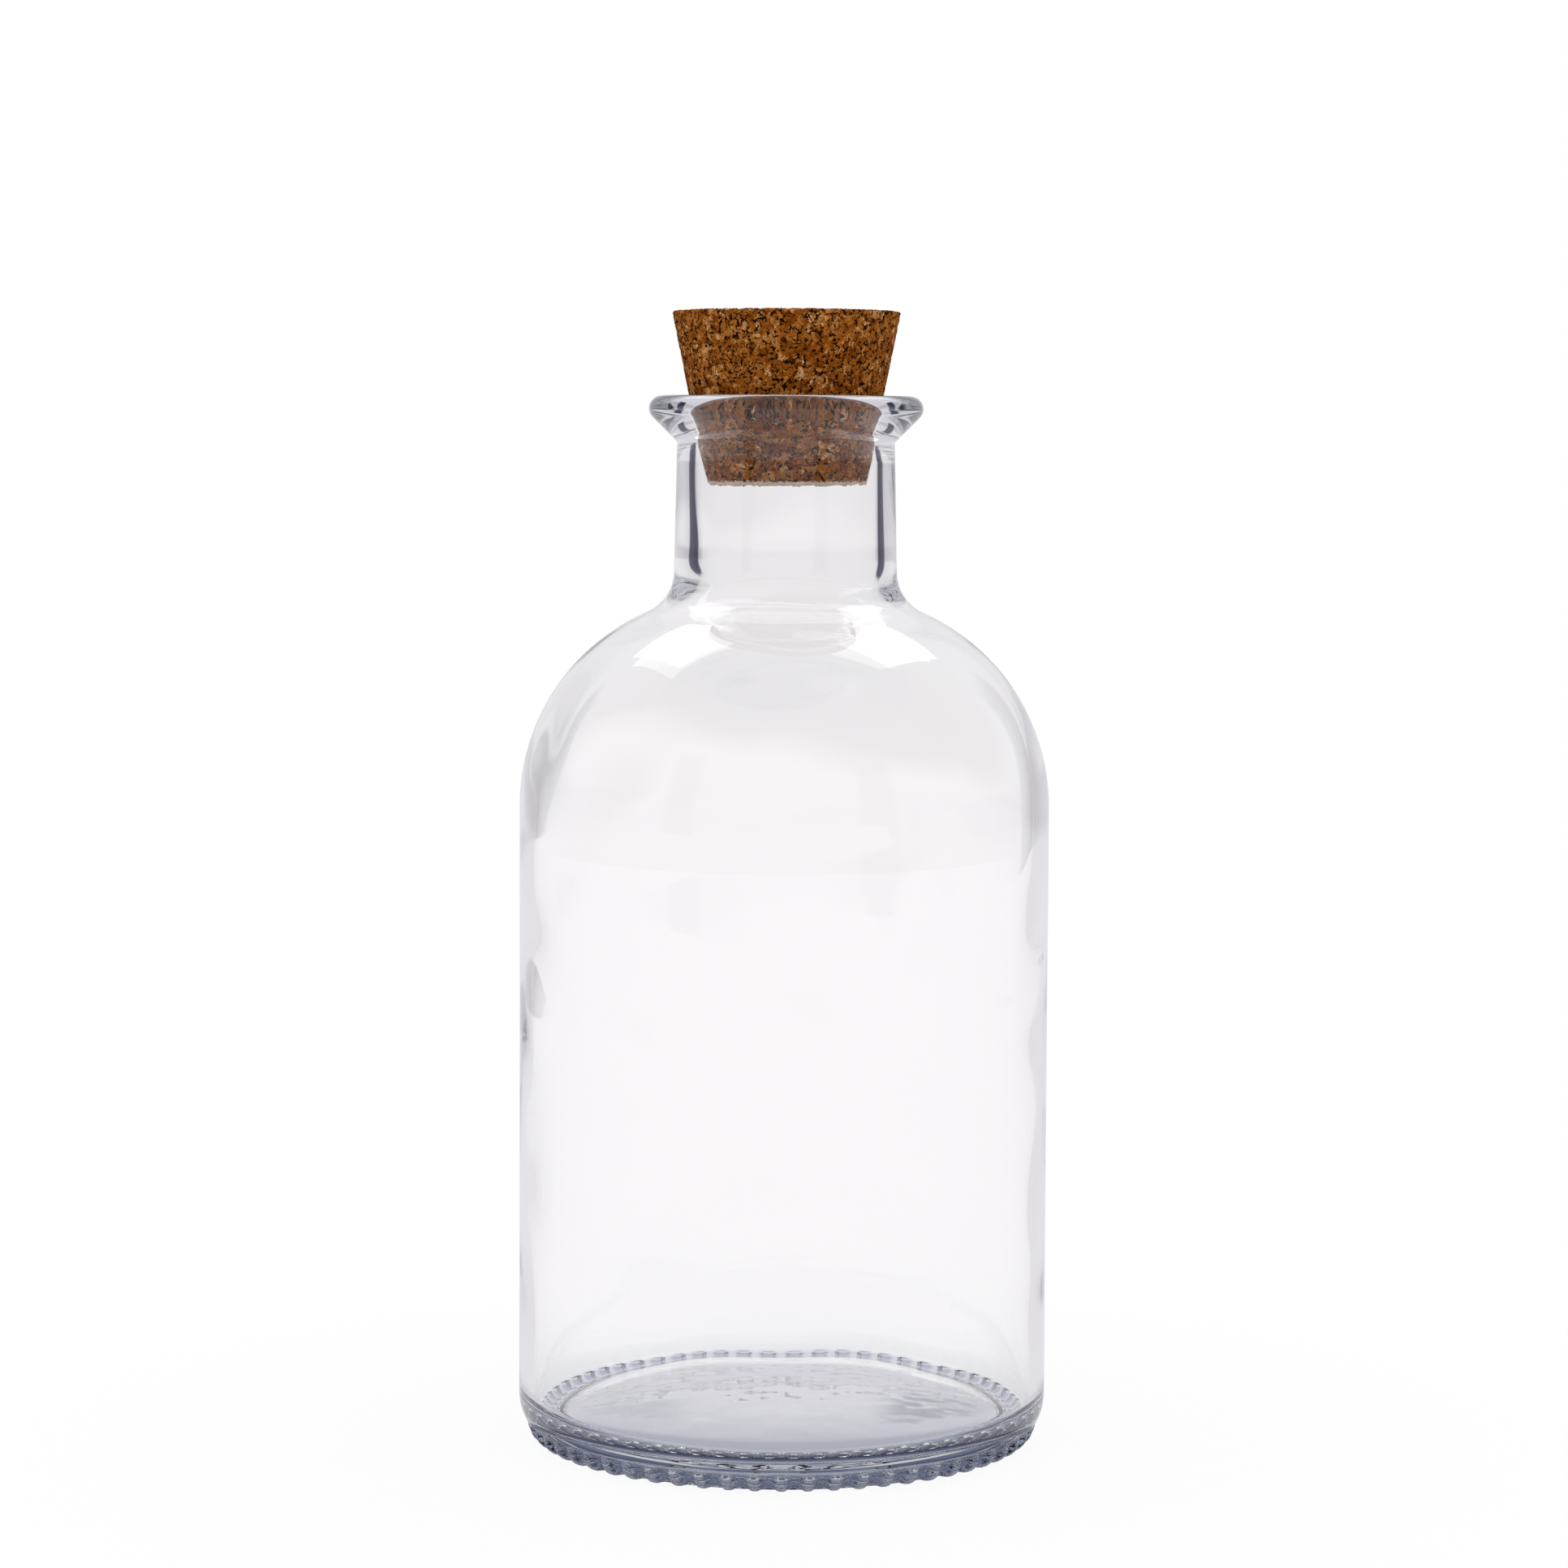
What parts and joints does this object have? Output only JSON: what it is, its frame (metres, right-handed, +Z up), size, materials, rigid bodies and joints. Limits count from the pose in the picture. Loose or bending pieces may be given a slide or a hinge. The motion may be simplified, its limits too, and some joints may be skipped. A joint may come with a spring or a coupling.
{
  "type": "apothecary bottle",
  "caption": "Round-shouldered clear glass apothecary bottle with a flared lip, a knurled base ring and a tapered pull-out cork stopper.",
  "frame": {"origin": "on the ground under the middle of the bottle, in the plane of the knurled ring that it stands on", "axes": "+Z up along the bottle's own axis, towards the cork; +X and +Y are level, and the bottle is the same all round"},
  "size_m": [0.08, 0.08, 0.1707],
  "materials": {
    "clear_glass": "moulded clear soda-lime glass, glossy",
    "agglomerated_cork": "bare pressed cork granules, matte"
  },
  "bodies": {
    "bottle": {"glass_bottle": "clear_glass"},
    "cork": {"cork_stopper": "agglomerated_cork"}
  },
  "joints": [
    {"name": "cork_pull", "type": "slide", "parent": "bottle", "child": "cork", "axis": [0, 0, 1], "range_m": [0, 0.03]}
  ]
}
